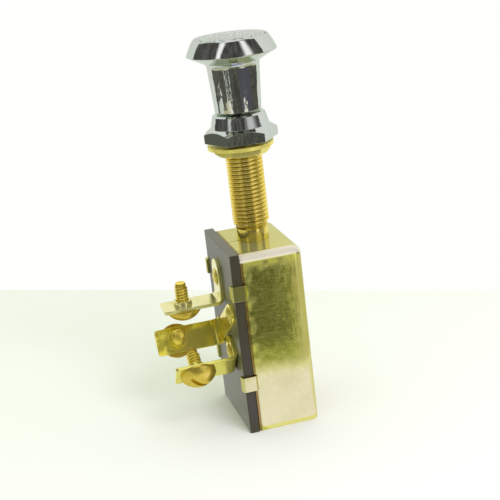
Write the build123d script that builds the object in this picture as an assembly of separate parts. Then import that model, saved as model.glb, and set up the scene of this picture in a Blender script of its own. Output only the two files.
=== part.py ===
from build123d import *
import math
import os

# Push-pull switch with a threaded stem, a folded brass case and three screw terminals.
# Millimetres. The origin is on the stem's axis at the underside of the case.
# +Z runs up the stem to the knob, and the terminals stand out towards -X.

# Case, folded from brass sheet and open towards the terminal board
case_height = 48.4
case_width = 28.0
rim_depth = 7.65        # stem axis to the rim that the board lies on
back_depth = 9.0        # stem axis to the outside of the back
sheet = 0.7
back_bend = 2.2         # outside radius of the two upright bends at the back
top_bend = 2.1          # of the bends round the top
base_bend = 0.5         # of the bends round the bottom
slit_width = 0.3        # seam in the top, from the rim to the stem
notch_width = 0.9       # nick in the lower bend of the near side
notch_offset = 2.1      # from the stem axis, towards the board
tab_width = 4.0
tab_low_level = 13.95
tab_drop = 9.55         # the upper tabs' middle below the top of the case
tab_lip = 1.3           # reach of a folded tab over the board's face
tab_set_back = 0.55     # a tab's outward step starts this far behind the rim

# Terminal board, dark fibre
board_thick = 2.4
board_rise = 0.5        # the board stands this far above the case

# Stem
thread_dia = 9.525
thread_pitch = 25.4 / 24
thread_depth = 0.56
neck_dia = 8.2
neck_length = 3.3
shaft_dia = 4.76
flange_dia = 11.5       # inside the case, staked against its top
flange_thick = 3.4

# Nuts, washer and bezel up the stem
nut_standoff = 23.0     # underside of the back nut above the case
nut_flats = 12.7
nut_thick = 1.95
washer_dia = 17.1
washer_shift = 0.45     # the loose washer hangs this far towards the terminals
washer_thick = 0.9
panel_gap = 0.8         # room for the panel under the bezel
bezel_flats = 16.6
bezel_hex_height = 2.25     # up to where the corners are turned off
bezel_flare_height = 1.4
bezel_foot_radius = 7.6     # foot of the collar
bezel_top_radius = 6.75
bezel_collar_height = 3.4
bezel_cap = 1.9             # metal left over the end of the stem
hex_angle = -125.9          # both hexagons stand with a corner this way, in degrees

# Knob
knob_gap = 0.35         # bezel to the pushed-in knob
knob_foot_radius = 6.0
knob_neck_radius = 6.8  # at the top of the neck
knob_neck_length = 12.45
knob_rim_radius = 11.58
knob_underside_rise = 2.5   # from the neck's top to the rim
knob_top_radius = 9.4
knob_skirt_height = 4.2
knob_skirt_bow = 0.15       # the skirt swells this far out of a straight cone
knob_crown = 0.18           # rise of the domed top
knob_throat_round = 1.6     # rounding from the neck into the underside
knob_lip_round = 0.25
knob_shoulder_round = 1.2
knob_grip = 9.0             # length of shaft held in the knob

# Detents: pushed in, half way, pulled out
detent_step = 6.25
detent_wire = 0.9
detent_seat = 1.9       # stem axis to the wire's inner side
detent_inset = 1.15     # the wire's straight legs end this far inside the flange's edge

# Terminals: strip, collar and rivet
strip = 0.9
strip_width = 7.1
strip_corner = 0.8
collar_radius = 2.6
collar_height = 1.2
shank_radius = 1.3
rivet_head_radius = 2.4
rivet_head_height = 0.8
contact_radius = 2.0    # inner rivet heads, which are the fixed contacts
contact_height = 0.8
# Each terminal: rivet on the board, angle from straight down in degrees, rivet to tab, foot above
# the rivet, width of the foot, reach from the board, screw hole to the free end, inside of the bend
top_rivet_y = 1.7
top_rivet_rise = 14.97      # above the middle of the case's height
top_angle = 3.0
top_foot = 6.3
top_tail = 5.0
top_foot_width = 7.1
top_reach = 16.2
top_hole_inset = 5.6
top_fold = 0.9
middle_rivet_y = -8.84
middle_rivet_rise = 7.5
middle_angle = 57.0
middle_foot = 17.5
middle_tail = 3.6
middle_foot_width = 5.6
middle_reach = 18.55
middle_hole_inset = 5.7
middle_fold = 2.2
bottom_rivet_y = -4.9
bottom_rivet_rise = -4.0
bottom_angle = -50.3
bottom_foot = 4.0
bottom_tail = 4.4
bottom_foot_width = 7.1
bottom_reach = 16.7
bottom_hole_inset = 5.9
bottom_fold = 0.9

# Terminal screws
screw_dia = 3.5
screw_length = 7.0
screw_head_dia = 9.4
screw_head_height = 3.4
screw_edge = 0.6        # straight edge under the domed head
slot_width = 1.1
slot_depth = 1.1
top_slot_angle = 35.0       # in degrees
middle_slot_angle = 70.0
bottom_slot_angle = -40.0

# Sliding contact
spigot_dia = 3.2        # lower shaft, through the carrier
plate_thick = 0.8
plate_side = 0.5        # plate beyond the outermost contacts
open_gap = 1.2          # pushed in, the plate stops this far below the middle contact
hold_on = 0.9           # pulled out, the plate still covers this much of the lowest contact
lug_width = 6.0
lug_room = 0.43         # lugs to the shaft's clip
slab_gap = 1.6          # plate to carrier
slab_thick = 3.2
guide_gap = 0.3         # carrier to the case
hub_radius = 4.0
rib_width = 4.0
coil_wire = 0.5
coil_radius = 1.7
coil_turns = 4
coil_spread = 13.0      # between the two springs
pocket_depth = 1.6
clip_thick = 0.5
clip_radius = 3.0
spigot_tail = 2.4       # shaft below the clip

# Fits
touch = 0.02            # sliding faces and threads that meet
thread_room = 0.05
shaft_room = 0.06       # round the shaft in the stem's bore
wire_room = 0.1

# Levels and faces that follow from the sizes above
board_face = -rim_depth - board_thick
half_width = case_width / 2
tab_high_level = case_height - tab_drop
top_rivet_z = case_height / 2 + top_rivet_rise
middle_rivet_z = case_height / 2 + middle_rivet_rise
bottom_rivet_z = case_height / 2 + bottom_rivet_rise
nut_level = case_height + nut_standoff
washer_level = nut_level + nut_thick
bezel_level = washer_level + washer_thick + panel_gap
flare_level = bezel_level + bezel_hex_height
collar_level = flare_level + bezel_flare_height
bezel_top = collar_level + bezel_collar_height
stem_top = bezel_top - bezel_cap - 0.3
knob_level = bezel_top + knob_gap
travel = 2 * detent_step
bore_dia = shaft_dia + 2 * shaft_room
flange_top = case_height - sheet
detent_level = flange_top - flange_thick / 2
detent_bend = flange_dia / 2 - detent_inset     # where the wire starts to bend round
plate_face = -rim_depth + contact_height + touch
lug_tip = -clip_radius - lug_room
plate_top = middle_rivet_z - contact_radius - open_gap
plate_bottom = bottom_rivet_z - contact_radius + hold_on - travel
plate_low_y = min(top_rivet_y, middle_rivet_y, bottom_rivet_y) - contact_radius - plate_side
plate_high_y = max(top_rivet_y, middle_rivet_y, bottom_rivet_y) + contact_radius + plate_side
plate_mid_y = (plate_low_y + plate_high_y) / 2
slab_top = plate_top - plate_thick - wire_room
slab_bottom = plate_bottom + plate_thick + wire_room
slab_mid = (slab_top + slab_bottom) / 2
slab_face = plate_face + plate_thick + slab_gap
clip_level = slab_bottom - touch - clip_thick


def block(x0, x1, y0, y1, z0, z1):
    """A box between two values on each axis."""
    return Pos((x0 + x1) / 2, (y0 + y1) / 2, (z0 + z1) / 2) * Box(x1 - x0, y1 - y0, z1 - z0)


def rod(radius, z0, z1):
    """A cylinder on the stem's axis between two levels."""
    return Pos(0, 0, (z0 + z1) / 2) * Cylinder(radius, z1 - z0)


def turned(lines):
    """A solid turned about Z from lines in radius and height."""
    return revolve(Plane.XZ * make_face(lines), Axis.Z)


def on_dome(radius, rise, level):
    """A point half way in on a shallow dome that stands on a level."""
    ball = (radius * radius + rise * rise) / (2 * rise)
    return radius / 2, level + rise - ball + math.sqrt(ball * ball - radius * radius / 4)


def corner(face, point):
    """The corner of a flat face that lies at a point."""
    return face.vertices().sort_by_distance((point[0], point[1], 0))[0]


def rounded(face, point, radius):
    """The face with the corner at a point rounded."""
    return fillet(corner(face, point), radius)


def to_corner(flats):
    """Centre to corner of a hexagon, from its width across flats."""
    return flats / math.sqrt(3)


def hexagon(flats, z0, z1):
    """A hexagonal prism, turned as the nuts stand in the photograph."""
    prism = extrude(RegularPolygon(to_corner(flats), 6), z1 - z0)
    return Pos(0, 0, z0) * Rot(0, 0, hex_angle) * prism


def folded_box(inset, rim):
    """The case's box, inset by a wall, with its bends rounded and its rim at a given X."""
    box = block(
        rim, back_depth - inset, inset - half_width, half_width - inset, inset, case_height - inset
    )
    upright = [e for e in box.edges().filter_by(Axis.Z) if e.center().X > 0]
    box = fillet(upright, back_bend - inset)
    walls = [e for e in box.edges() if e.center().X > rim + 0.01]
    if base_bend > inset:
        box = fillet([e for e in walls if e.bounding_box().max.Z < inset + 0.01], base_bend - inset)
    level = case_height - inset - 0.01
    walls = [e for e in box.edges() if e.center().X > rim + 0.01]
    return fillet([e for e in walls if e.bounding_box().min.Z > level], top_bend - inset)


def tab_outline():
    """A tab seen from above on the +Y side: a step out of the wall, then a fold over the board."""
    inside = half_width + touch
    outside = inside + sheet
    step = sheet + touch
    start = tab_set_back - rim_depth
    tip = board_face - sheet
    lip = half_width - tab_lip
    face = make_face(
        Polyline(
            (start + step + 0.6, half_width),
            (start + step * 0.8, half_width),
            (start, outside),
            (tip, outside),
            (tip, lip),
            (board_face, lip),
            (board_face, inside),
            (start - 0.3, inside),
            (start + step * 0.8 - 0.3, half_width - sheet),
            (start + step + 0.6, half_width - sheet),
            close=True,
        )
    )
    return rounded(face, (tip, outside), sheet)


def make_case():
    """Sheet box with its seam, nick, stem hole and four folded tabs."""
    shell = folded_box(0, -rim_depth)
    rim_edges = [e for e in shell.edges() if e.bounding_box().max.X < 0.001 - rim_depth]
    shell = chamfer(rim_edges, sheet * 0.35)
    shell -= folded_box(sheet, -rim_depth - 1)
    shell -= rod(neck_dia / 2 + thread_room, case_height - 2 * sheet, case_height + 1)
    shell -= block(-rim_depth - 1, 0, -slit_width / 2, slit_width / 2, flange_top - 1, case_height + 1)
    shell -= block(
        -notch_offset - notch_width / 2, -notch_offset + notch_width / 2,
        -half_width - 1, sheet / 2 - half_width, -1, base_bend * 0.6
    )
    tab = Pos(0, 0, -tab_width / 2) * extrude(tab_outline(), tab_width)
    gate = block(
        -rim_depth - 1, tab_set_back + sheet * 0.8 - rim_depth, half_width - 2 * sheet, half_width + 1,
        -tab_width / 2 - wire_room, tab_width / 2 + wire_room
    )
    for level in (tab_low_level, tab_high_level):
        for turn in (None, Plane.XZ):
            cut = gate if turn is None else mirror(gate, turn)
            add = tab if turn is None else mirror(tab, turn)
            shell = shell - Pos(0, 0, level) * cut + Pos(0, 0, level) * add
    return shell


def at_rivet(rivet_y, rivet_z, angle):
    """Where a terminal's own frame stands: its rivet on the board's outer face."""
    return Pos(board_face, rivet_y, rivet_z) * Rot(angle, 0, 0)


def at_screw(foot, reach, inset):
    """Where a screw stands in its terminal's frame: on the tab's mid-plane, thread side up."""
    return Pos(inset - reach, 0, -foot)


def make_terminal(foot, tail, foot_width, reach, inset, fold):
    """Strip in its own frame: foot on the board at X=0, tab standing out towards -X."""
    outer = (0, -foot - strip / 2)
    inner = (-strip, strip / 2 - foot)
    side = make_face(
        Polyline(
            (0, tail),
            outer,
            (-reach, -foot - strip / 2),
            (-reach, strip / 2 - foot),
            inner,
            (-strip, tail),
            close=True,
        )
    )
    side = rounded(side, outer, fold + strip)
    side = rounded(side, inner, fold)
    part = extrude(Plane.XZ * side, strip_width / 2, both=True)
    low = foot + reach
    neck = strip + fold - foot
    middle = tail - foot_width / 2
    front = Pos(0, (neck - low) / 2) * Rectangle(strip_width, neck + low)
    front += Pos(0, (middle - low) / 2) * Rectangle(foot_width, middle + low)
    front += Pos(0, middle) * Circle(foot_width / 2)
    part &= extrude(Plane.YZ * front, 2 * reach, both=True)
    plan = Pos(-reach / 2, 0) * Rectangle(reach, strip_width)
    for edge in (-1, 1):
        plan = rounded(plan, (-reach, edge * strip_width / 2), strip_corner)
    part &= extrude(plan, 2 * low, both=True)
    collar = Pos(0, 0, strip / 4 + collar_height / 2)
    collar *= Cone(collar_radius, collar_radius * 0.9, collar_height + strip / 2)
    hole = Cylinder(screw_dia / 2 + touch, 6 * strip)
    place = at_screw(foot, reach, inset)
    part = part + place * collar - place * hole
    return part - Rot(0, 90, 0) * Cylinder(shank_radius + touch, 4 * strip)


def make_screw(slot_angle):
    """Slotted truss-head screw on its terminal's mid-plane, thread up and head down."""
    head = screw_head_dia / 2
    thread = screw_dia / 2
    part = turned(
        [
            ThreePointArc(
                (0, screw_head_height),
                on_dome(head, screw_head_height - screw_edge, screw_edge),
                (head, screw_edge),
            ),
            Polyline(
                (head, screw_edge),
                (head, 0),
                (thread, 0),
                (thread, thread * 0.25 - screw_length),
                (thread * 0.75, -screw_length),
                (0, -screw_length),
                (0, screw_head_height),
            ),
        ]
    )
    slot = Box(screw_head_dia * 2, slot_width, 2 * slot_depth)
    part -= Pos(0, 0, screw_head_height) * Rot(0, 0, slot_angle) * slot
    return Pos(0, 0, -strip / 2) * Rot(180, 0, 0) * part


def make_rivet():
    """Rivet in its terminal's frame: domed head outside, flat contact head inside."""
    head = rivet_head_radius
    top = strip + rivet_head_height
    part = turned(
        [
            ThreePointArc((0, top), on_dome(head, rivet_head_height, strip), (head, strip)),
            Polyline(
                (head, strip),
                (shank_radius, strip),
                (shank_radius, -board_thick),
                (contact_radius, -board_thick),
                (contact_radius, -board_thick - contact_height),
                (0, -board_thick - contact_height),
                (0, top),
            ),
        ]
    )
    return Rot(0, -90, 0) * part


def make_board(places):
    """Fibre plate with a hole for each rivet."""
    board = block(board_face, -rim_depth, -half_width, half_width, 0, case_height + board_rise)
    board = chamfer([e for e in board.edges() if e.center().X < board_face + 0.01], 0.15)
    for place in places:
        board -= place * (Rot(0, 90, 0) * Cylinder(shank_radius + touch, 4 * board_thick))
    return board


def make_barrel(foot):
    """Barrel of the stem from its foot up, with ridges for the bare thread below the nut."""
    crest = thread_dia / 2
    root = crest - thread_depth
    points = [(0, foot), (root, foot)]
    for ridge in range(int((nut_level - foot) / thread_pitch)):
        level = foot + ridge * thread_pitch
        points += [(crest, level + thread_pitch / 2), (root, level + thread_pitch)]
    level = points[-1][1]
    points += [
        (crest, level + thread_depth),
        (crest, stem_top - thread_depth),
        (root, stem_top),
        (0, stem_top),
    ]
    return turned(Polyline(*points, close=True))


def make_stem():
    """Bushing: inner flange with the detent spring's slots, plain neck, threaded barrel and bore."""
    neck_top = case_height + neck_length
    stem = rod(flange_dia / 2, flange_top - flange_thick, flange_top)
    stem += rod(neck_dia / 2, flange_top, neck_top)
    stem += make_barrel(neck_top)
    stem -= rod(bore_dia / 2, flange_top - flange_thick - 1, stem_top + 1)
    spread = shaft_dia / 2 + detent_wire + 2 * wire_room
    tall = detent_wire / 2 + wire_room
    for side in (-1, 1):
        y0, y1 = sorted((side * (detent_seat - wire_room), side * spread))
        stem -= block(-flange_dia, flange_dia, y0, y1, detent_level - tall, detent_level + tall)
    return stem - block(detent_bend, flange_dia, -spread, spread, detent_level - tall, detent_level + tall)


def make_back_nut():
    """Thin hexagon nut with the corners of its lower face turned off."""
    nut = hexagon(nut_flats, nut_level, washer_level)
    corner_radius = to_corner(nut_flats)
    drop = nut_thick * 0.35
    chamfered = turned(
        Polyline(
            (0, nut_level),
            (nut_flats / 2, nut_level),
            (corner_radius, nut_level + drop),
            (corner_radius, washer_level),
            (0, washer_level),
            close=True,
        )
    )
    return (nut & chamfered) - rod(thread_dia / 2 + thread_room, nut_level - 1, washer_level + 1)


def make_bezel():
    """Hexagon nut with its upper corners turned off, running up into a conical collar."""
    corner_radius = to_corner(bezel_flats)
    form = turned(
        Polyline(
            (0, bezel_level),
            (corner_radius, bezel_level),
            (corner_radius, flare_level),
            (bezel_foot_radius, collar_level),
            (0, collar_level),
            close=True,
        )
    )
    bezel = hexagon(bezel_flats, bezel_level, collar_level) & form
    edge = 0.4
    bezel += turned(
        Polyline(
            (0, flare_level),
            (bezel_foot_radius, flare_level),
            (bezel_foot_radius, collar_level),
            (bezel_top_radius + edge * 0.25, bezel_top - edge),
            (bezel_top_radius - edge, bezel_top),
            (0, bezel_top),
            close=True,
        )
    )
    bezel -= rod(thread_dia / 2 + thread_room, bezel_level - 1, bezel_top - bezel_cap)
    return bezel - rod(shaft_dia / 2 + guide_gap, bezel_top - bezel_cap - 1, bezel_top + 1)


def make_knob():
    """Turned mushroom knob with a tapered neck, a slightly bowed skirt and a slightly domed top."""
    neck_top = knob_level + knob_neck_length
    rim = neck_top + knob_underside_rise
    skirt_top = rim + knob_skirt_height
    foot = (knob_foot_radius - 0.3, knob_level)
    throat = (knob_neck_radius, neck_top)
    lip = (knob_rim_radius, rim)
    shoulder = (knob_top_radius, skirt_top)
    crown = (0, skirt_top + knob_crown)
    taper = math.atan2(knob_rim_radius - knob_top_radius, knob_skirt_height)
    swell = (
        (lip[0] + shoulder[0]) / 2 + knob_skirt_bow * math.cos(taper),
        (lip[1] + shoulder[1]) / 2 + knob_skirt_bow * math.sin(taper),
    )
    face = make_face(
        [
            Polyline((0, knob_level), foot, (knob_foot_radius, knob_level + 0.4), throat, lip),
            ThreePointArc(lip, swell, shoulder),
            ThreePointArc(shoulder, on_dome(knob_top_radius, knob_crown, skirt_top), crown),
            Line(crown, (0, knob_level)),
        ]
    )
    face = rounded(face, throat, knob_throat_round)
    face = rounded(face, lip, knob_lip_round)
    face = rounded(face, shoulder, knob_shoulder_round)
    knob = revolve(Plane.XZ * face, Axis.Z)
    return knob - rod(shaft_dia / 2 + touch, knob_level - 1, knob_level + knob_grip)


def make_shaft():
    """Plunger: thick end in the knob, three detent grooves, thin spigot through the carrier."""
    shaft = rod(shaft_dia / 2, slab_top + touch, knob_level + knob_grip)
    shaft += rod(spigot_dia / 2, clip_level - spigot_tail, slab_top + 1)
    wire = detent_wire / 2 + wire_room
    for step in range(3):
        spot = (detent_seat + detent_wire / 2, detent_level - step * detent_step)
        shaft -= revolve(Plane.XZ * (Pos(*spot) * Circle(wire)), Axis.Z)
    ring = rod(spigot_dia, clip_level - touch, clip_level + clip_thick + touch)
    return shaft - (ring - rod(spigot_dia * 0.36, clip_level - 1, clip_level + clip_thick + 1))


def make_detent_spring():
    """Hairpin of round wire: two straight legs beside the shaft and a bend at the back."""
    side = detent_seat + detent_wire / 2
    leg = detent_bend
    path = Wire(
        [
            Line((-leg, side, detent_level), (leg, side, detent_level)),
            ThreePointArc(
                (leg, side, detent_level),
                (leg + side, 0, detent_level),
                (leg, -side, detent_level),
            ),
            Line((leg, -side, detent_level), (-leg, -side, detent_level)),
        ]
    )
    start = Plane((-leg, side, detent_level), z_dir=(1, 0, 0))
    return sweep(start * Circle(detent_wire / 2), path=path)


def coil_levels():
    """Levels of the two contact springs."""
    return slab_mid - coil_spread / 2, slab_mid + coil_spread / 2


def make_carrier():
    """Moulded slider: slab behind the contact plate, hub on the shaft, rib at the back."""
    wall = half_width - sheet - guide_gap
    back = back_depth - sheet - guide_gap
    carrier = block(slab_face, slab_face + slab_thick, -wall, wall, slab_bottom, slab_top)
    carrier += rod(hub_radius, slab_bottom, slab_top)
    carrier += block(0, back, -rib_width / 2, rib_width / 2, slab_bottom, slab_top)
    for level in coil_levels():
        pocket = Cylinder(coil_radius + coil_wire / 2 + guide_gap, 2 * pocket_depth)
        carrier -= Pos(slab_face, plate_mid_y, level) * Rot(0, 90, 0) * pocket
    return carrier - rod(spigot_dia / 2 + touch, slab_bottom - 1, slab_top + 1)


def make_plate():
    """Copper bridge: flat face on the rivet heads, two lugs bent over the carrier's ends."""
    back = plate_face + plate_thick
    plate = block(plate_face, back, plate_low_y, plate_high_y, plate_bottom, plate_top)
    y0 = plate_mid_y - lug_width / 2
    y1 = plate_mid_y + lug_width / 2
    plate += block(plate_face, lug_tip, y0, y1, plate_bottom, plate_bottom + plate_thick)
    plate += block(plate_face, lug_tip, y0, y1, plate_top - plate_thick, plate_top)
    ends = [
        e for e in plate.edges().filter_by(Axis.Y)
        if e.center().X < plate_face + 0.01
    ]
    return fillet(ends, plate_thick * 0.6)


def make_coil(level):
    """Contact spring between the carrier's pocket and the plate."""
    start = plate_face + plate_thick + touch + coil_wire / 2
    length = slab_gap + pocket_depth - 2 * touch - coil_wire
    line = Helix(length / coil_turns, length, coil_radius)
    section = Plane(line @ 0, z_dir=line % 0) * Circle(coil_wire / 2)
    coil = sweep(section, path=line, is_frenet=True)
    return Pos(start, plate_mid_y, level) * Rot(0, 90, 0) * coil


def make_clip():
    """Open retaining ring in the spigot's groove."""
    clip = rod(clip_radius, clip_level, clip_level + clip_thick)
    inner = spigot_dia * 0.36 + touch
    clip -= rod(inner, clip_level - 1, clip_level + clip_thick + 1)
    return clip - block(0, 2 * clip_radius, -inner * 0.8, inner * 0.8, clip_level - 1, clip_level + 1)


def main():
    top = at_rivet(top_rivet_y, top_rivet_z, top_angle)
    middle = at_rivet(middle_rivet_y, middle_rivet_z, middle_angle)
    bottom = at_rivet(bottom_rivet_y, bottom_rivet_z, bottom_angle)
    top_hole = at_screw(top_foot, top_reach, top_hole_inset)
    middle_hole = at_screw(middle_foot, middle_reach, middle_hole_inset)
    bottom_hole = at_screw(bottom_foot, bottom_reach, bottom_hole_inset)
    low_coil, high_coil = coil_levels()
    washer = rod(washer_dia / 2, washer_level, washer_level + washer_thick)
    washer -= rod(thread_dia / 2 + washer_shift + thread_room, washer_level - 1, bezel_level)

    pieces = {
        "case": make_case(),
        "terminal_board": make_board((top, middle, bottom)),
        "stem": make_stem(),
        "back_nut": make_back_nut(),
        "panel_washer": Pos(-washer_shift, 0, 0) * washer,
        "bezel_nut": make_bezel(),
        "knob": make_knob(),
        "plunger_shaft": make_shaft(),
        "detent_spring": make_detent_spring(),
        "contact_carrier": make_carrier(),
        "contact_plate": make_plate(),
        "contact_spring_lower": make_coil(low_coil),
        "contact_spring_upper": make_coil(high_coil),
        "shaft_clip": make_clip(),
        "terminal_top": top
        * make_terminal(top_foot, top_tail, top_foot_width, top_reach, top_hole_inset, top_fold),
        "terminal_middle": middle
        * make_terminal(
            middle_foot, middle_tail, middle_foot_width, middle_reach, middle_hole_inset, middle_fold
        ),
        "terminal_bottom": bottom
        * make_terminal(
            bottom_foot, bottom_tail, bottom_foot_width, bottom_reach, bottom_hole_inset, bottom_fold
        ),
        "terminal_screw_top": top * top_hole * make_screw(top_slot_angle),
        "terminal_screw_middle": middle * middle_hole * make_screw(middle_slot_angle),
        "terminal_screw_bottom": bottom * bottom_hole * make_screw(bottom_slot_angle),
        "contact_rivet_top": top * make_rivet(),
        "contact_rivet_middle": middle * make_rivet(),
        "contact_rivet_bottom": bottom * make_rivet(),
    }
    os.makedirs("parts", exist_ok=True)
    for name, shape in pieces.items():
        export_step(shape, "parts/" + name + ".step")


main()
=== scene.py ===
import math

import bmesh
import bpy
from mathutils import Matrix, Vector


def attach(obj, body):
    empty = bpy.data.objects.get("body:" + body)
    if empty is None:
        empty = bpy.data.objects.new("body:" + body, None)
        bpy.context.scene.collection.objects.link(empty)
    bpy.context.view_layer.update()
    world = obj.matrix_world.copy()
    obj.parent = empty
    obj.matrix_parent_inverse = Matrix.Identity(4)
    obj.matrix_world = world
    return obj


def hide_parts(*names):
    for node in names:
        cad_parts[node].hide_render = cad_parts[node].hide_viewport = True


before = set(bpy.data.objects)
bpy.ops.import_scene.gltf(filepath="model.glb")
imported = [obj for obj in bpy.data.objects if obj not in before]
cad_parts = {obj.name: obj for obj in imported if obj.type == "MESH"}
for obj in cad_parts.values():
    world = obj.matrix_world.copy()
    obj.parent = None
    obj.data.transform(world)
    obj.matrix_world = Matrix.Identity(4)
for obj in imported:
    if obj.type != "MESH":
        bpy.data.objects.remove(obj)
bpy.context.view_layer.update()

MM = 0.001

# Sizes repeated from the part's source, in millimetres
NECK_RADIUS = 4.1
NECK_TOP = 51.7
THREAD_RADIUS = 4.7625
THREAD_DEPTH = 0.56
THREAD_PITCH = 25.4 / 24
STEM_TOP = 79.9
BORE_RADIUS = 2.44
BOARD_FACE = -10.05
CASE_SIDE = 14.0            # outside of the case's walls; the tabs stand further out
CASE_TOP = 48.4
TOP_BEND = 2.1              # outside radius of the fold round the case's top
STRIP = 0.9
SCREW_RADIUS = 1.75
SCREW_LENGTH = 7.0
# Each terminal: rivet Y and Z, angle in degrees, foot, reach, screw hole to the free end
TERMINALS = {
    "top": (1.7, 39.17, 3.0, 6.3, 16.2, 5.6),
    "middle": (-8.84, 31.7, 57.0, 17.5, 18.55, 5.7),
    "bottom": (-4.9, 20.2, -50.3, 4.0, 16.7, 5.9),
}

# Threads that the part's source leaves plain, in millimetres
THREAD_RUN_IN = 0.1         # from the neck to the stem's thread
SCREW_PITCH = 25.4 / 32
SCREW_DEPTH = 0.36
SCREW_TIP = 0.15            # length of the screw's turned tip
SCREW_TAPER = 0.2           # the tip is this much smaller in radius than the root
THREAD_SPARE = 0.3          # a thread leaves at least this part of a pitch plain, shared by its ends
THREAD_FADE = 0.6           # part of a turn over which it runs out at each end
STEM_STEPS = 96             # facets round each thread
SCREW_STEPS = 48
STEM_SLACK = 0.05           # allowance in telling which faces a thread takes the place of
SCREW_SLACK = 0.02

# Where finishes change, in millimetres
TARNISH_AND_REFLECTION_LOW = (15.5, 20.5)  # levels between which the case's walls go from clean to a painted reflection of the dark room, mottled by tarnish
TARNISH_AND_REFLECTION_BACK = (4.8, 7.0)   # X at which it fades out before the back corner
TARNISH_AND_REFLECTION_RIM = (-7.2, -5.4)  # X at which it fades in behind the rim
TARNISH_AND_REFLECTION_TOP = (43.2, 46.0)  # levels at which it fades out under the case's top
TARNISH_AND_REFLECTION_RAGGED = 1.4        # its edges wander by this much
TARNISH_AND_REFLECTION_FAR = 0.4           # share of it on the far side
RIM_STRIP = (-7.9, -6.8)    # X of the brown strip on the rim beside the board
LOWER_FOLD = 1.1            # the walls are painted yellower below this level, where they fold under: a painted reflection on the fold
BOARD_EDGE = 13.8           # the board's cut edge begins here, from the middle
KNOB_THROAT = 96.6          # where the knob's neck has flared out
KNOB_SHOULDER = 101.3       # where the knob's top begins
SCRATCH_RELIEF = 0.002
CASE_RELIEF = 0.003
FIBRE_RELIEF = 0.006
SOFT_EDGE = 0.12            # radius of the softened edges
STRIP_EDGE = 0.22
BOARD_SOFT_EDGE = 0.2

# Studio, in millimetres and degrees
CAMERA_ROUND = 13.22        # turned this far towards the terminals
CAMERA_UP = 17.12
CAMERA_LEAN = 6.74
CAMERA_AIM = 50.0           # level on the stem's axis
CAMERA_SHIFT = (-0.66, -4.74, 315.24)   # from there to the right, up and back
CAMERA_SENSOR = 36.0
CAMERA_LENS = 86.4
CARD_BEARING = 256.5        # the cards' bearings are counted from here, in degrees from +X
CARD_STEPS = 24             # facets along each card
CARD_FADE = 8               # facets over which a soft card fades out at each end
FLOOR_REACH = 700
FLOOR_FRONT = -900
FLOOR_BACK = (566.8, -347.0)    # Y of the floor's far edge at its two ends

# One turn of each thread: place along the pitch and height, from root (0) to crest (1)
STEM_SECTION = (
    (0.0, 0.0), (0.06, 0.0), (0.12, 0.12), (0.27, 0.9), (0.31, 1.0),
    (0.69, 1.0), (0.73, 0.9), (0.88, 0.12), (0.94, 0.0),
)
SCREW_SECTION = (
    (0.0, 0.0), (0.05, 0.02), (0.14, 0.14), (0.38, 0.88), (0.46, 1.0),
    (0.54, 1.0), (0.62, 0.88), (0.86, 0.14), (0.95, 0.02),
)


# Thread and turned shapes

class Skin:
    """Points, faces and each point's height on the thread, gathered for one mesh."""

    def __init__(self):
        self.points = []
        self.faces = []
        self.heights = []

    def add(self, radius, angle, level, height):
        self.points.append((radius * math.cos(angle), radius * math.sin(angle), level))
        self.heights.append(height)
        return len(self.points) - 1

    def ring(self, radius, level, steps, height):
        return [self.add(radius, 2 * math.pi * i / steps, level, height) for i in range(steps)]

    def join_rings(self, low, high):
        count = len(low)
        for i in range(count):
            k = (i + 1) % count
            self.faces.append((low[i], low[k], high[k], high[i]))


def cut_thread(skin, section, radius, depth, pitch, low, high, steps):
    """A right-hand thread between two levels, which runs out into the root at both ends.
    Returns the rings at its two ends."""
    root = radius - depth
    turns = int((high - low) / pitch - 1 - THREAD_SPARE)
    start = low + ((high - low) - (turns + 1) * pitch) / 2
    last = turns * steps
    fade = steps * THREAD_FADE
    width = len(section)

    def full(i):
        return max(0.0, min(1.0, i / fade, (last - i) / fade))

    grid = []
    for i in range(last + 1):
        angle = 2 * math.pi * i / steps
        row = []
        for place, height in section:
            tall = height * full(i)
            row.append(skin.add(root + depth * tall, angle, start + pitch * (i / steps + place), tall))
        grid.append(row)
    upper = []
    for i in range(last, last + steps + 1):
        if i == last:
            upper.append(grid[last][0])
        else:
            upper.append(skin.add(root, 2 * math.pi * i / steps, start + pitch * i / steps, 0.0))

    def above(i):
        return grid[i + steps][0] if i + steps <= last else upper[i + steps - last]

    for i in range(last):
        for j in range(width):
            top_here = grid[i][j + 1] if j + 1 < width else above(i)
            top_next = grid[i + 1][j + 1] if j + 1 < width else above(i + 1)
            skin.faces.append((grid[i][j], grid[i + 1][j], top_next, top_here))
    low_ring = skin.ring(root, low, steps, 0.0)
    high_ring = skin.ring(root, high, steps, 0.0)
    for i in range(steps):
        k = (i + 1) % steps
        skin.faces.append((low_ring[i], low_ring[k], grid[i + 1][0], grid[i][0]))
        skin.faces.append((upper[i], upper[i + 1], high_ring[k], high_ring[i]))
    return low_ring, high_ring


def kept_solid(node, drop):
    """A copy of a CAD node's mesh without the faces that a thread takes the place of.
    Each corner remembers the smooth direction that it had in the CAD mesh."""
    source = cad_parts[node].data
    bm = bmesh.new()
    bm.from_mesh(source)
    facing = bm.loops.layers.float_vector.new("facing")
    for face, polygon in zip(bm.faces, source.polygons):
        for i, loop in enumerate(face.loops):
            loop[facing] = source.corner_normals[polygon.loop_start + i].vector
    bmesh.ops.remove_doubles(bm, verts=bm.verts, dist=1e-7)
    bmesh.ops.delete(bm, geom=[f for f in bm.faces if drop(f)], context="FACES")
    return bm, facing


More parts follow.
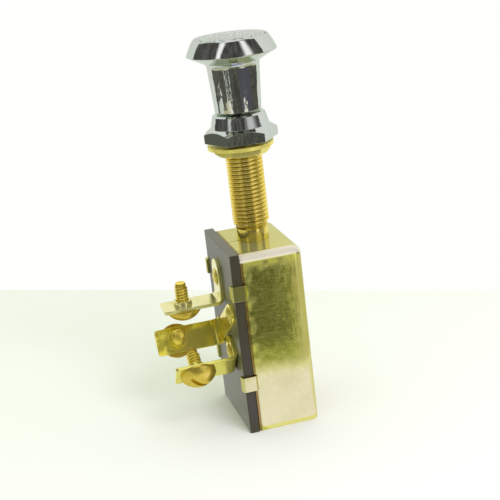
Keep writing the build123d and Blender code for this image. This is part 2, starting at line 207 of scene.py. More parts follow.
def threaded_piece(name, node, skin, place, drop):
    """A CAD node with its plain thread cylinder replaced by a cut one. The height on the thread is kept
    for the finish: 0 at the root, 1 at the crest and 2 on the turned faces."""
    mesh = bpy.data.meshes.new(name)
    mesh.from_pydata([place @ (Vector(p) * MM) for p in skin.points], [], skin.faces)
    mesh.attributes.new("thread_height", "FLOAT", "POINT").data.foreach_set("value", skin.heights)
    bm = bmesh.new()
    bm.from_mesh(mesh)
    bmesh.ops.recalc_face_normals(bm, faces=bm.faces)
    bm.to_mesh(mesh)
    bm.free()
    bm, facing = kept_solid(node, drop)
    groove = bm.verts.layers.float.new("thread_height")
    for vert in bm.verts:
        vert[groove] = 2.0
    bm.from_mesh(mesh)
    for face in bm.faces:
        face.smooth = True
    normals = [loop[facing].copy() for face in bm.faces for loop in face.loops]
    bm.loops.layers.float_vector.remove(facing)
    bm.to_mesh(mesh)
    bm.free()
    mesh.normals_split_custom_set(normals)
    piece = bpy.data.objects.new(name, mesh)
    bpy.context.collection.objects.link(piece)
    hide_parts(node)
    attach(piece, "body")
    return piece


def make_threaded_stem():
    """Bushing with its 3/8 inch, 24 per inch thread from the plain neck to the bezel."""
    skin = Skin()
    low, high = cut_thread(
        skin, STEM_SECTION, THREAD_RADIUS, THREAD_DEPTH, THREAD_PITCH,
        NECK_TOP + THREAD_RUN_IN, STEM_TOP, STEM_STEPS
    )
    skin.join_rings(skin.ring(NECK_RADIUS, NECK_TOP, STEM_STEPS, 1.0), low)
    skin.join_rings(high, skin.ring(BORE_RADIUS, STEM_TOP, STEM_STEPS, 1.0))

    def barrel(face):
        wide = max(math.hypot(v.co.x, v.co.y) for v in face.verts) > (NECK_RADIUS + STEM_SLACK) * MM
        return wide and min(v.co.z for v in face.verts) > (NECK_TOP - STEM_SLACK) * MM

    piece = threaded_piece("threaded_stem", "stem", skin, Matrix.Identity(4), barrel)
    return piece


def screw_frame(name):
    """Where a terminal screw stands: on its tab's mid-plane, thread side up."""
    y, z, angle, foot, reach, inset = TERMINALS[name]
    place = Matrix.Translation(Vector((BOARD_FACE, y, z)) * MM)
    place = place @ Matrix.Rotation(math.radians(angle), 4, "X")
    return place @ Matrix.Translation(Vector((inset - reach, 0, -foot)) * MM)


def make_threaded_screw(name):
    """Terminal screw with a cut thread and its turned, slotted head."""
    skin = Skin()
    under_head = -STRIP / 2
    tip = under_head + SCREW_LENGTH
    low, high = cut_thread(
        skin, SCREW_SECTION, SCREW_RADIUS, SCREW_DEPTH, SCREW_PITCH,
        under_head, tip - SCREW_TIP, SCREW_STEPS
    )
    skin.join_rings(skin.ring(SCREW_RADIUS, under_head, SCREW_STEPS, 1.0), low)
    end = skin.ring(SCREW_RADIUS - SCREW_DEPTH - SCREW_TAPER, tip, SCREW_STEPS, 0.6)
    skin.join_rings(high, end)
    middle = skin.add(0.0, 0.0, tip, 0.6)
    for i in range(SCREW_STEPS):
        skin.faces.append((end[i], end[(i + 1) % SCREW_STEPS], middle))
    place = screw_frame(name)
    back = place.inverted()

    def shank(face):
        points = [back @ v.co for v in face.verts]
        thin = max(math.hypot(p.x, p.y) for p in points) < (SCREW_RADIUS + SCREW_SLACK) * MM
        return thin and min(p.z for p in points) > (under_head - SCREW_SLACK) * MM

    piece = threaded_piece("threaded_screw_" + name, "terminal_screw_" + name, skin, place, shank)
    return piece


# Surface effects shared by the finishes

def effect(name, inputs, outputs):
    """An empty node group with its sockets."""
    tree = bpy.data.node_groups.new(name, "ShaderNodeTree")
    for label, value in inputs:
        socket = tree.interface.new_socket(label, in_out="INPUT", socket_type="NodeSocketFloat")
        socket.default_value = value
    for label in outputs:
        tree.interface.new_socket(label, in_out="OUTPUT", socket_type="NodeSocketFloat")
    return tree, tree.nodes.new("NodeGroupInput"), tree.nodes.new("NodeGroupOutput")


def math_node(tree, kind, first, second):
    """One arithmetic node; either side is a socket or a number."""
    node = tree.nodes.new("ShaderNodeMath")
    node.operation = kind
    for i, value in enumerate((first, second)):
        if isinstance(value, (int, float)):
            node.inputs[i].default_value = value
        else:
            tree.links.new(value, node.inputs[i])
    return node.outputs[0]


def spread(tree, value, low, high, to_low=0.0, to_high=1.0):
    """A value mapped from one range to another and held there."""
    node = tree.nodes.new("ShaderNodeMapRange")
    tree.links.new(value, node.inputs["Value"])
    for label, number in (("From Min", low), ("From Max", high), ("To Min", to_low), ("To Max", to_high)):
        node.inputs[label].default_value = number
    return node.outputs["Result"]


def rise(tree, place, low, high):
    """A mask that goes from 0 to 1 between two places in millimetres."""
    return spread(tree, place, low * MM, high * MM)


def fall(tree, place, low, high):
    """A mask that goes from 1 to 0 between two places in millimetres."""
    return spread(tree, place, low * MM, high * MM, 1.0, 0.0)


def all_of(tree, mask, *others):
    """Masks multiplied together."""
    for other in others:
        mask = math_node(tree, "MULTIPLY", mask, other)
    return mask


def lessen(tree, value, mask, share):
    """A value made smaller by a share of a mask."""
    return math_node(tree, "SUBTRACT", value, math_node(tree, "MULTIPLY", mask, share))


def stretched_noise(tree, turn, scale, detail=2.0):
    """Noise in the object's own coordinates, turned and drawn out along its axes."""
    where = tree.nodes.new("ShaderNodeTexCoord")
    mapping = tree.nodes.new("ShaderNodeMapping")
    mapping.inputs["Rotation"].default_value = [math.radians(a) for a in turn]
    mapping.inputs["Scale"].default_value = scale
    noise = tree.nodes.new("ShaderNodeTexNoise")
    noise.inputs["Scale"].default_value = 1.0
    noise.inputs["Detail"].default_value = detail
    tree.links.new(where.outputs["Object"], mapping.inputs["Vector"])
    tree.links.new(mapping.outputs["Vector"], noise.inputs["Vector"])
    return noise.outputs["Fac"]


def handling_scratches():
    """Short fine scratches in three directions."""
    tree, inside, out = effect("handling_scratches", [("Amount", 1.0)], ["Lines"])
    lines = None
    for turn, scale in (
        ((12, 28, 8), (260, 5200, 5200)),
        ((-20, -38, 15), (420, 6400, 6400)),
        ((35, 75, -25), (340, 5800, 5800)),
    ):
        layer = spread(tree, stretched_noise(tree, turn, scale), 0.60, 0.72)
        lines = layer if lines is None else math_node(tree, "MAXIMUM", lines, layer)
    amount = math_node(tree, "MULTIPLY", lines, inside.outputs["Amount"])
    tree.links.new(amount, out.inputs["Lines"])
    return tree


def tarnish():
    """Cloudy patches, large ones broken up by small ones."""
    tree, inside, out = effect("tarnish", [("Amount", 1.0)], ["Cloud"])
    large = spread(tree, stretched_noise(tree, (0, 0, 0), (130, 130, 130), 3.0), 0.35, 0.70)
    small = spread(tree, stretched_noise(tree, (20, 10, 40), (900, 900, 900), 4.0), 0.30, 0.75)
    shares = [math_node(tree, "MULTIPLY", patches, share) for patches, share in ((large, 0.6), (small, 0.4))]
    cloud = math_node(tree, "ADD", *shares)
    tree.links.new(math_node(tree, "MULTIPLY", cloud, inside.outputs["Amount"]), out.inputs["Cloud"])
    return tree


def rolled_waves():
    """Slow unevenness of sheet metal or plating, drawn out along the height."""
    tree, inside, out = effect("rolled_waves", [("Amount", 1.0)], ["Height"])
    slow = stretched_noise(tree, (0, 0, 0), (420, 420, 150), 2.0)
    quick = stretched_noise(tree, (0, 0, 30), (1500, 1500, 500), 2.0)
    height = math_node(tree, "ADD", slow, math_node(tree, "MULTIPLY", quick, 0.25))
    tree.links.new(math_node(tree, "MULTIPLY", height, inside.outputs["Amount"]), out.inputs["Height"])
    return tree


def place_effect(tree, group, **values):
    """A shared effect placed in one finish with its own values."""
    node = tree.nodes.new("ShaderNodeGroup")
    node.node_tree = group
    for label, value in values.items():
        node.inputs[label].default_value = value
    return node.outputs[0]


def mix_colour(tree, amount, first, second):
    """A blend of two colours; either is a socket or three numbers."""
    node = tree.nodes.new("ShaderNodeMix")
    node.data_type = "RGBA"
    tree.links.new(amount, node.inputs["Factor"])
    for label, value in (("A", first), ("B", second)):
        socket = [s for s in node.inputs if s.name == label and s.type == "RGBA"][0]
        if isinstance(value, tuple):
            socket.default_value = (*value, 1.0)
        else:
            tree.links.new(value, socket)
    return [s for s in node.outputs if s.type == "RGBA"][0]


def new_finish(name):
    """A material with one Principled shader."""
    finish = bpy.data.materials.new(name)
    finish.use_nodes = True
    tree = finish.node_tree
    tree.nodes.clear()
    out = tree.nodes.new("ShaderNodeOutputMaterial")
    shader = tree.nodes.new("ShaderNodeBsdfPrincipled")
    tree.links.new(shader.outputs["BSDF"], out.inputs["Surface"])
    return finish, tree, shader


def raise_surface(tree, shader, height, relief, edge=0.0):
    """Fine relief on the surface, over softly rounded edges, both in millimetres."""
    bump = tree.nodes.new("ShaderNodeBump")
    bump.inputs["Strength"].default_value = 1.0
    bump.inputs["Distance"].default_value = relief * MM
    tree.links.new(height, bump.inputs["Height"])
    if edge:
        soft = tree.nodes.new("ShaderNodeBevel")
        soft.samples = 6
        soft.inputs["Radius"].default_value = edge * MM
        tree.links.new(soft.outputs["Normal"], bump.inputs["Normal"])
    tree.links.new(bump.outputs["Normal"], shader.inputs["Normal"])


def start_metal(name, effects, bright, dull, smooth, rough, metallic=1.0, scratch=1.0, glance=(1, 1, 1)):
    """Bare or plated metal with cloudy patches; returns its parts, its colour and its scratches.
    The glance is its colour where it is seen nearly edge-on."""
    finish, tree, shader = new_finish(name)
    shader.inputs["Metallic"].default_value = metallic
    shader.inputs["Specular Tint"].default_value = (*glance, 1.0)
    patches = place_effect(tree, effects["tarnish"], Amount=1.0)
    lines = place_effect(tree, effects["scratches"], Amount=scratch)
    colour = mix_colour(tree, patches, bright, dull)
    tree.links.new(colour, shader.inputs["Base Color"])
    base = spread(tree, patches, 0.0, 1.0, smooth, rough)
    scratched = math_node(tree, "ADD", base, math_node(tree, "MULTIPLY", lines, 0.06))
    tree.links.new(scratched, shader.inputs["Roughness"])
    return finish, tree, shader, colour, lines


def metal_finish(name, effects, **look):
    """Metal with handling scratches and softly rounded edges."""
    finish, tree, shader, _, lines = start_metal(name, effects, **look)
    raise_surface(tree, shader, lines, SCRATCH_RELIEF, SOFT_EDGE)
    return finish


def add_to(tree, socket, amount):
    """Adds a value to what already feeds a shader's socket."""
    tree.links.new(math_node(tree, "ADD", socket.links[0].from_socket, amount), socket)


def object_axis(tree, axis):
    """One of the object's own coordinates, in metres."""
    where = tree.nodes.new("ShaderNodeTexCoord")
    split = tree.nodes.new("ShaderNodeSeparateXYZ")
    tree.links.new(where.outputs["Object"], split.inputs["Vector"])
    return split.outputs[axis]


def case_places(tree):
    """Masks for the parts of the case that look different."""
    along, across, level = (object_axis(tree, axis) for axis in "XYZ")
    aside = math_node(tree, "ABSOLUTE", across, 0.0)
    wall = fall(tree, aside, CASE_SIDE + 0.1, CASE_SIDE + 0.2)
    outside = rise(tree, aside, CASE_SIDE - 0.2, CASE_SIDE - 0.1)

    # Painted reflection of the dark room on the walls, mottled by tarnish, inside a clean margin with ragged
    # edges
    wander = stretched_noise(tree, (0, 0, 0), (520, 520, 520), 4.0)
    ragged = spread(tree, wander, 0.3, 0.7, -TARNISH_AND_REFLECTION_RAGGED * MM, TARNISH_AND_REFLECTION_RAGGED * MM)
    near = spread(tree, across, -1.0 * MM, 1.0 * MM, 1.0, TARNISH_AND_REFLECTION_FAR)
    upper = all_of(tree, rise(tree, level, *TARNISH_AND_REFLECTION_LOW), near)
    below_top = fall(tree, math_node(tree, "ADD", level, ragged), *TARNISH_AND_REFLECTION_TOP)
    behind_rim = rise(tree, math_node(tree, "ADD", along, ragged), *TARNISH_AND_REFLECTION_RIM)
    before_back = fall(tree, along, *TARNISH_AND_REFLECTION_BACK)
    clean = math_node(tree, "SUBTRACT", 1.0, all_of(tree, below_top, behind_rim))

    # Folds and rim
    bend_side = rise(tree, aside, CASE_SIDE - TOP_BEND + 0.1, CASE_SIDE - TOP_BEND + 0.4)
    bend_top = rise(tree, level, CASE_TOP - TOP_BEND + 0.1, CASE_TOP - TOP_BEND + 0.5)
    rim_start = rise(tree, along, RIM_STRIP[0], RIM_STRIP[0] + 0.1)
    rim_end = fall(tree, along, RIM_STRIP[1] - 0.15, RIM_STRIP[1] + 0.15)
    return {
        "tarnish_and_painted_reflection": all_of(tree, upper, below_top, behind_rim, before_back, wall),
        "margin": all_of(tree, clean, upper, outside, wall),
        "fold": all_of(tree, bend_side, bend_top),
        "top": rise(tree, level, CASE_TOP - 0.2, CASE_TOP - 0.1),
        "lower_fold": fall(tree, level, LOWER_FOLD, LOWER_FOLD + 0.3),
        "brown_tint": all_of(tree, rim_start, rim_end, wall),
    }


def case_finish(name, effects):
    """Sheet brass, scratched on the walls. Their upper part is painted a darker olive as a painted reflection
    of the dark room, mottled by tarnish, with painted glints on its scratches. The top's folds carry a
    painted pale highlight, the fold underneath a painted deeper yellow reflection, and the rim a brown strip
    beside the board.
    """
    finish, tree, shader, colour, lines = start_metal(
        name, effects, bright=(0.72, 0.69, 0.31), dull=(0.64, 0.61, 0.24), smooth=0.10, rough=0.18,
        scratch=0.38, glance=(0.70, 0.69, 0.43)
    )
    places = case_places(tree)
    # painted glints: the scratches on the upper walls are painted pale and less metallic so that they look
    # lit
    scratch_glints = all_of(tree, lines, places["tarnish_and_painted_reflection"])
    # painted reflection: the upper walls are painted a darker olive for the dark room they mirror, broken
    # into blotches of tarnish
    blotches = spread(tree, stretched_noise(tree, (0, 0, 0), (620, 620, 620), 6.0), 0.42, 0.60)
    olive = mix_colour(tree, blotches, (0.595, 0.595, 0.18), (0.455, 0.46, 0.11))
    # painted highlight: the fold round the case's top is painted pale, less metallic and rougher
    pits_and_fold_highlight = math_node(tree, "MULTIPLY", places["fold"], 0.85)
    for place, over in (
        (places["margin"], (0.74, 0.72, 0.15)),
        (places["tarnish_and_painted_reflection"], olive),
        (scratch_glints, (0.85, 0.84, 0.45)),
        # painted reflection: a deeper yellow on the fold under the case
        (places["lower_fold"], (0.66, 0.64, 0.13)),
        (places["brown_tint"], (0.30, 0.21, 0.06)),
        (pits_and_fold_highlight, (0.80, 0.75, 0.66)),
    ):
        colour = mix_colour(tree, place, colour, over)
    tree.links.new(colour, shader.inputs["Base Color"])
    metallic = 1.0
    for place, share in ((scratch_glints, 0.25), (places["top"], 0.3), (places["fold"], 0.4), (places["margin"], 0.3)):
        metallic = lessen(tree, metallic, place, share)
    tree.links.new(metallic, shader.inputs["Metallic"])
    add_to(tree, shader.inputs["Roughness"], math_node(tree, "MULTIPLY", places["fold"], 0.28))
    waves = place_effect(tree, effects["waves"], Amount=12.0)
    raise_surface(tree, shader, math_node(tree, "ADD", scratch_glints, waves), CASE_RELIEF, SOFT_EDGE)
    return finish


def terminal_finish(name, effects, rubbed_end, rub, metallic, **look):
    """Stamped brass with well rounded edges, rubbed to a soft shine between two X towards its free end."""
    finish, tree, shader, _, lines = start_metal(
        name, effects, smooth=0.10, rough=0.20, metallic=metallic, **look
    )
    end = math_node(tree, "MULTIPLY", fall(tree, object_axis(tree, "X"), *rubbed_end), rub)
    uneven = spread(tree, stretched_noise(tree, (0, 0, 0), (480, 480, 480), 3.0), 0.42, 0.58, 0.15, 1.0)
    tree.links.new(lessen(tree, metallic, end, uneven), shader.inputs["Metallic"])
    raise_surface(tree, shader, lines, SCRATCH_RELIEF, STRIP_EDGE)
    return finish


def chrome_finish(name, effects):
    """Chrome plate: rippled on the neck of the knob, pitted on its top, smoother elsewhere."""
    finish, tree, shader, colour, _ = start_metal(
        name, effects, bright=(0.62, 0.655, 0.61), dull=(0.56, 0.595, 0.545), smooth=0.035, rough=0.075,
        scratch=0.35, glance=(0.80, 0.84, 0.78)
    )
    level = object_axis(tree, "Z")
    ripple = spread(tree, level, KNOB_THROAT * MM, (KNOB_THROAT + 1.0) * MM, 36.0, 10.0)
    waves = all_of(tree, place_effect(tree, effects["waves"], Amount=1.0), ripple)
    pits = spread(tree, stretched_noise(tree, (0, 0, 20), (1150, 1150, 1150), 3.0), 0.50, 0.58)
    pitted = all_of(tree, pits, rise(tree, level, KNOB_SHOULDER, KNOB_SHOULDER + 0.2))
    pits_and_fold_highlight = math_node(tree, "MULTIPLY", pitted, 0.9)
    tree.links.new(mix_colour(tree, pits_and_fold_highlight, colour, (0.08, 0.085, 0.065)), shader.inputs["Base Color"])
    raise_surface(tree, shader, lessen(tree, waves, pitted, 32.0), SCRATCH_RELIEF, SOFT_EDGE)
    return finish


def threaded_finish(name, effects, metallic, brown_tint, thread_sheen=None, **look):
    """Brass that turns browner towards the bottom of the thread; the cut thread can be painted a brighter
    colour than the turned faces, a painted sheen.
    """
    finish, tree, shader, colour, lines = start_metal(
        name, effects, metallic=metallic, scratch=0.6, glance=(0.95, 0.86, 0.5), **look
    )
    attribute = tree.nodes.new("ShaderNodeAttribute")
    attribute.attribute_name = "thread_height"
    height = attribute.outputs["Fac"]
    if thread_sheen:
        # painted sheen: the cut thread is painted brighter and a little less metallic than the head
        cut = spread(tree, height, 1.1, 1.9, 1.0, 0.0)
        colour = mix_colour(tree, cut, colour, thread_sheen)
        tree.links.new(lessen(tree, metallic, cut, 0.08), shader.inputs["Metallic"])
    # browner towards the bottom of the thread
    deep = spread(tree, height, 0.0, 0.75, 1.0, 0.0)
    patches = spread(tree, stretched_noise(tree, (0, 0, 0), (500, 500, 900)), 0.3, 0.7, 0.55, 1.0)
    browned = mix_colour(tree, all_of(tree, deep, patches), colour, brown_tint)
    tree.links.new(browned, shader.inputs["Base Color"])
    raise_surface(tree, shader, lines, SCRATCH_RELIEF)
    return finish


def fibre_finish(name, effects):
    """Dark pressed fibre with a slight polish, a fine grain and darker cut edges; the face's lighter tone is
    a painted sheen.
    """
    finish, tree, shader = new_finish(name)
    cloud = place_effect(tree, effects["tarnish"], Amount=1.0)
    # painted sheen: the board's face is painted lighter than its cut edges
    face = mix_colour(tree, cloud, (0.125, 0.127, 0.066), (0.090, 0.091, 0.050))
    aside = math_node(tree, "ABSOLUTE", object_axis(tree, "Y"), 0.0)
    cut = rise(tree, aside, BOARD_EDGE, BOARD_EDGE + 0.1)
    tree.links.new(mix_colour(tree, cut, face, (0.042, 0.035, 0.018)), shader.inputs["Base Color"])
    grain = stretched_noise(tree, (0, 0, 0), (5200, 5200, 5200), 3.0)
    tree.links.new(spread(tree, grain, 0.2, 0.8, 0.34, 0.48), shader.inputs["Roughness"])
    shader.inputs["Specular IOR Level"].default_value = 0.5
    raise_surface(tree, shader, grain, FIBRE_RELIEF, BOARD_SOFT_EDGE)
    return finish


def moulded_finish(name, effects):
    """Brown moulding compound."""
    finish, tree, shader = new_finish(name)
    cloud = place_effect(tree, effects["tarnish"], Amount=1.0)
    brown = mix_colour(tree, cloud, (0.045, 0.026, 0.018), (0.028, 0.017, 0.012))
    tree.links.new(brown, shader.inputs["Base Color"])
    tree.links.new(spread(tree, cloud, 0.0, 1.0, 0.35, 0.5), shader.inputs["Roughness"])
    return finish


def brass_finishes(effects):
    """The brass pieces' finishes, by node."""
    nut = metal_finish(
        "turned_brass", effects, bright=(0.80, 0.72, 0.24), dull=(0.74, 0.65, 0.17), smooth=0.20, rough=0.28,
        metallic=0.68, glance=(0.95, 0.90, 0.60)
    )
    washer = metal_finish(
        "washer_brass", effects, bright=(0.82, 0.73, 0.20), dull=(0.76, 0.66, 0.14), smooth=0.20, rough=0.28,
        metallic=0.5, glance=(0.88, 0.83, 0.45)
    )
    rivet = metal_finish(
        "rivet_brass", effects, bright=(0.74, 0.66, 0.20), dull=(0.60, 0.50, 0.10), smooth=0.20, rough=0.32,
        metallic=0.7, glance=(0.90, 0.84, 0.45)
    )
    # The three terminals are one brass, tinted apart as painted reflection of how each catches the light:
    # mustard on the middle one, paler on the top one, deeper on the bottom one
    middle_terminal = terminal_finish(
        "terminal_brass", effects, rubbed_end=(-27.6, -24.0), rub=0.65, metallic=0.8,
        bright=(0.92, 0.83, 0.17), dull=(0.76, 0.66, 0.06), glance=(1.0, 0.98, 0.92)
    )
    top_terminal = terminal_finish(
        "terminal_brass_painted_pale", effects, rubbed_end=(-24.5, -19.0), rub=0.25, metallic=0.85,
        bright=(0.85, 0.81, 0.44), dull=(0.75, 0.70, 0.24), glance=(1.0, 1.0, 0.95)
    )
    bottom_terminal = terminal_finish(
        "terminal_brass_painted_deep", effects, rubbed_end=(-26.0, -24.0), rub=0.1, metallic=0.85,
        bright=(0.85, 0.79, 0.24), dull=(0.74, 0.67, 0.11), glance=(1.0, 0.98, 0.75)
    )
    return {
        "case": case_finish("case_brass", effects), "back_nut": nut, "panel_washer": washer,
        "contact_rivet_top": rivet, "contact_rivet_middle": rivet, "contact_rivet_bottom": rivet,
        "terminal_top": top_terminal, "terminal_middle": middle_terminal, "terminal_bottom": bottom_terminal,
    }


def dress_pieces(stem, screws):
    """Gives every piece its finish."""
    effects = {"scratches": handling_scratches(), "tarnish": tarnish(), "waves": rolled_waves()}
    chrome = chrome_finish("chrome_plate", effects)
    steel = metal_finish(
        "drawn_steel", effects, bright=(0.50, 0.50, 0.50), dull=(0.36, 0.36, 0.37), smooth=0.25, rough=0.40
    )
    copper = metal_finish(
        "rolled_copper", effects, bright=(0.70, 0.36, 0.22), dull=(0.46, 0.22, 0.13), smooth=0.20, rough=0.36
    )
    finishes = {
        **brass_finishes(effects), "bezel_nut": chrome, "knob": chrome,
        "terminal_board": fibre_finish("pressed_fibre", effects),
        "contact_carrier": moulded_finish("brown_moulding", effects),
        "contact_plate": copper, "plunger_shaft": steel, "detent_spring": steel, "shaft_clip": steel,
        "contact_spring_lower": steel, "contact_spring_upper": steel,
    }
    for node, finish in finishes.items():
        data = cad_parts[node].data
        data.materials.clear()
        data.materials.append(finish)
    stem_thread = threaded_finish(
        "stem_thread_brass", effects, metallic=0.94, brown_tint=(0.56, 0.38, 0.06),
        bright=(0.90, 0.78, 0.26), dull=(0.82, 0.67, 0.17), smooth=0.10, rough=0.16
    )
    stem.data.materials.append(stem_thread)
    screw_thread = threaded_finish(
        "screw_thread_brass", effects, metallic=0.85, brown_tint=(0.46, 0.28, 0.04), thread_sheen=(0.97, 0.82, 0.14),
        bright=(0.77, 0.61, 0.11), dull=(0.64, 0.46, 0.05), smooth=0.26, rough=0.36
    )
    for screw in screws:
        screw.data.materials.append(screw_thread)


# Studio

def plane(name, corners, finish):
    """A flat studio surface that is not part of the switch."""
    mesh = bpy.data.meshes.new(name)
    mesh.from_pydata([Vector(c) * MM for c in corners], [], [tuple(range(len(corners)))])
    mesh.materials.append(finish)
    piece = bpy.data.objects.new(name, mesh)
    bpy.context.collection.objects.link(piece)
    return piece


def glow_finish(name, colour, strength, patches=None, grain=9, soft=False):
    """A card that shows one brightness, or broad patches of two, and can fade out at its ends."""
    finish = bpy.data.materials.new(name)
    finish.use_nodes = True
    tree = finish.node_tree
    tree.nodes.clear()
    out = tree.nodes.new("ShaderNodeOutputMaterial")
    glow = tree.nodes.new("ShaderNodeEmission")
    glow.inputs["Color"].default_value = (*colour, 1.0)
    glow.inputs["Strength"].default_value = strength
    if patches:
        broad = spread(tree, stretched_noise(tree, (0, 0, 0), (grain, grain, grain / 2), 2.0), 0.35, 0.65)
        tree.links.new(mix_colour(tree, broad, colour, patches), glow.inputs["Color"])
    surface = glow.outputs["Emission"]
    if soft:
        fade = tree.nodes.new("ShaderNodeAttribute")
        fade.attribute_name = "fade"
        mix = tree.nodes.new("ShaderNodeMixShader")
        tree.links.new(fade.outputs["Fac"], mix.inputs["Fac"])
        tree.links.new(tree.nodes.new("ShaderNodeBsdfTransparent").outputs["BSDF"], mix.inputs[1])
        tree.links.new(surface, mix.inputs[2])
        surface = mix.outputs["Shader"]
    tree.links.new(surface, out.inputs["Surface"])
    return finish


def paper_finish():
    """White paper floor, a little warm and green."""
    finish, tree, shader = new_finish("white_paper")
    grain = stretched_noise(tree, (0, 0, 0), (900, 900, 900), 3.0)
    white = mix_colour(tree, grain, (0.91, 0.92, 0.90), (0.93, 0.935, 0.92))
    tree.links.new(white, shader.inputs["Base Color"])
    shader.inputs["Roughness"].default_value = 0.8
    shader.inputs["Specular IOR Level"].default_value = 0.1
    return finish


def card(name, rows, finish):
    """A curved card that only polished metal sees. Each row is an arc round the stem: its radius, its
    level, and two bearings in degrees to the right of the camera."""
    points = []
    for radius, level, start, end in rows:
        for i in range(CARD_STEPS + 1):
            bearing = math.radians(CARD_BEARING + start + (end - start) * i / CARD_STEPS)
            points.append((radius * math.cos(bearing), radius * math.sin(bearing), level))
    faces = []
    for row in range(len(rows) - 1):
        first = row * (CARD_STEPS + 1)
        for i in range(first, first + CARD_STEPS):
            faces.append((i, i + 1, i + CARD_STEPS + 2, i + CARD_STEPS + 1))
    mesh = bpy.data.meshes.new(name)
    mesh.from_pydata([Vector(p) * MM for p in points], [], faces)
    across = [min(1.0, i / CARD_FADE, (CARD_STEPS - i) / CARD_FADE) for i in range(CARD_STEPS + 1)]
    mesh.attributes.new("fade", "FLOAT", "POINT").data.foreach_set("value", across * len(rows))
    mesh.materials.append(finish)
    piece = bpy.data.objects.new(name, mesh)
    bpy.context.collection.objects.link(piece)
    piece.visible_camera = False
    piece.visible_diffuse = False
    piece.visible_shadow = False
    piece.visible_transmission = False


def bench_card(name, near, far, start, end, colour, level=-0.1):
    """Part of the bench that the switch stands on, between two radii and two bearings."""
    card(name, [(near, level, start, end), (far, level, start, end)], glow_finish(name, colour, 1.0))


def lay_studio():
    """White paper under the switch and, in its reflections, a bench and a dark room with two lamps."""
    front = [(-FLOOR_REACH, FLOOR_FRONT, 0), (FLOOR_REACH, FLOOR_FRONT, 0)]
    back = [(FLOOR_REACH, FLOOR_BACK[1], 0), (-FLOOR_REACH, FLOOR_BACK[0], 0)]
    floor = plane("paper_floor", front + back, paper_finish())
    floor.visible_glossy = False
    bench_card("paper_glare", 1, 51, -5, 65, (1.12, 1.08, 1.62))
    bench_card("paper_golden", 51, 57, -5, 65, (1.02, 1.00, 0.95), -0.05)
    bench_card("paper_left", 1, 56, -112, -5, (0.80, 0.82, 0.74), -0.15)
    bench_card("bench_left", 56, 172, -112, -20, (0.60, 0.60, 0.48), -0.15)
    bench_card("bench_edge", 56, 72, -20, 29, (0.53, 0.55, 0.28))
    bench_card("bench_near", 72, 172, -20, 29, (0.20, 0.205, 0.13))
    bench_card("bench_pale", 56, 172, 29, 118, (0.70, 0.68, 0.46))
    bench_card("bench_golden", 172, 290, -112, -41, (0.72, 0.67, 0.42))
    bench_card("bench_golden_right", 172, 290, 92, 118, (0.72, 0.67, 0.42))
    dim = glow_finish("bench_far", (0.055, 0.055, 0.045), 1.0, (0.16, 0.155, 0.14), 26)
    card("bench_far", [(172, -0.2, -112, 118), (600, -0.2, -112, 118)], dim)
    bench_card("bench_hex", 352, 450, -112, 14, (0.14, 0.145, 0.115), -0.15)
    bench_card("bench_blue", 206, 420, 20, 72, (0.115, 0.112, 0.14))
    for start, end in ((-41, -28), (31, 50)):
        bench_card("bench_glow", 172, 280, start, end, (1.2, 1.16, 1.0), 0.0)
    bench_card("bench_beyond", 450, 598, 14, 76, (0.85, 0.84, 0.80), 0.1)
    for start, end, far in ((-100, -72, 322), (-47, -43, 350), (-38, -36, 345), (-26, -24, 350)):
        bench_card("bench_paper", 230, far, start, end, (0.85, 0.88, 0.82), 0.1)
    room = glow_finish("dark_room", (0.065, 0.068, 0.055), 1.0, (0.155, 0.14, 0.15))
    card("room", [(600, -1, -118, 90), (600, 1500, -118, 90)], room)
    foot = glow_finish("lamp_foot", (0.95, 0.95, 1.0), 0.8, soft=True)
    card("lamp_foot_left", [(590, 150, -54, -34), (590, 360, -50, -34), (590, 440, -44, -36)], foot)
    card("lamp_foot_right", [(590, -1, 14, 76), (590, 360, 20, 70), (590, 440, 24, 64)], foot)
    lamp = glow_finish("lamp_face", (1.0, 0.95, 1.0), 1.4, soft=True)
    card("lamp_left", [(590, 440, -47, -33), (590, 1250, -46, -4)], lamp)
    card("lamp_right", [(590, 440, 31, 63), (590, 1250, 31, 53)], lamp)


def area_light(name, place, target, wide, high, power, colour=(1, 1, 1)):
    """A soft box that faces a point."""
    data = bpy.data.lights.new(name, "AREA")
    data.shape = "RECTANGLE"
    data.size = wide * MM
    data.size_y = high * MM
    data.energy = power
    data.color = colour
    lamp = bpy.data.objects.new(name, data)
    lamp.location = Vector(place) * MM
    aim = (Vector(target) - Vector(place)).to_track_quat("-Z", "Y")
    lamp.rotation_euler = aim.to_euler()
    bpy.context.collection.objects.link(lamp)
    return lamp


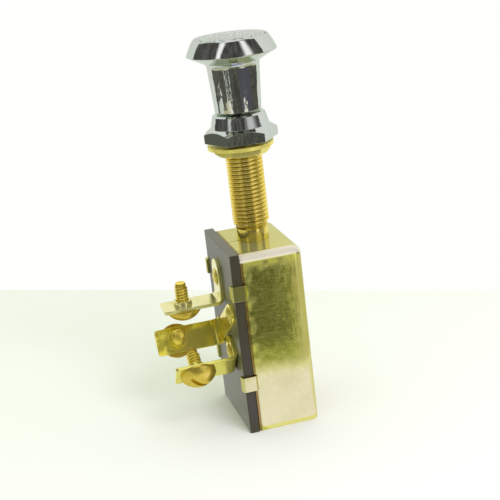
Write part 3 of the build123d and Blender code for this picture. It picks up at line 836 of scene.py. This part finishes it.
def light_studio():
    """White surroundings and one soft key from the front right."""
    world = bpy.data.worlds.new("white_studio")
    bpy.context.scene.world = world
    world.use_nodes = True
    tree = world.node_tree
    tree.nodes.clear()
    out = tree.nodes.new("ShaderNodeOutputWorld")
    seen = tree.nodes.new("ShaderNodeBackground")
    seen.inputs["Color"].default_value = (1.0, 1.0, 0.99, 1.0)
    seen.inputs["Strength"].default_value = 1.0
    fill = tree.nodes.new("ShaderNodeBackground")
    fill.inputs["Color"].default_value = (0.93, 1.0, 0.83, 1.0)
    fill.inputs["Strength"].default_value = 0.91
    path = tree.nodes.new("ShaderNodeLightPath")
    direct = math_node(tree, "MAXIMUM", path.outputs["Is Camera Ray"], path.outputs["Is Glossy Ray"])
    direct = math_node(tree, "MAXIMUM", direct, path.outputs["Is Transmission Ray"])
    mix = tree.nodes.new("ShaderNodeMixShader")
    tree.links.new(direct, mix.inputs["Fac"])
    tree.links.new(fill.outputs["Background"], mix.inputs[1])
    tree.links.new(seen.outputs["Background"], mix.inputs[2])
    tree.links.new(mix.outputs["Shader"], out.inputs["Surface"])
    key = area_light("key_box", (130, -400, 380), (0, 0, 30), 240, 240, 1.5, (0.90, 0.78, 1.0))
    key.visible_glossy = False


def set_camera():
    """The photograph's viewpoint."""
    round_by, up_by, lean = (math.radians(a) for a in (CAMERA_ROUND, CAMERA_UP, CAMERA_LEAN))
    right = Vector((math.cos(round_by), -math.sin(round_by), 0))
    level = Vector((math.sin(round_by), math.cos(round_by), 0))
    up = level * math.sin(up_by) + Vector((0, 0, math.cos(up_by)))
    back = right.cross(up)
    tilted_right = right * math.cos(lean) - up * math.sin(lean)
    tilted_up = right * math.sin(lean) + up * math.cos(lean)
    to_right, to_up, to_back = CAMERA_SHIFT
    place = Vector((0, 0, CAMERA_AIM)) + tilted_right * to_right + tilted_up * to_up + back * to_back
    data = bpy.data.cameras.new("camera")
    data.sensor_fit = "HORIZONTAL"
    data.sensor_width = CAMERA_SENSOR
    data.lens = CAMERA_LENS
    data.clip_start = 0.01
    data.clip_end = 10.0
    camera = bpy.data.objects.new("camera", data)
    columns = (tilted_right, tilted_up, back, place * MM)
    camera.matrix_world = Matrix([[c[i] for c in columns] for i in range(3)] + [[0, 0, 0, 1]])
    bpy.context.collection.objects.link(camera)
    bpy.context.scene.camera = camera


bpy.context.scene.view_settings.view_transform = "Standard"
stem_piece = make_threaded_stem()
screw_pieces = [make_threaded_screw(name) for name in TERMINALS]
dress_pieces(stem_piece, screw_pieces)
lay_studio()
light_studio()
set_camera()
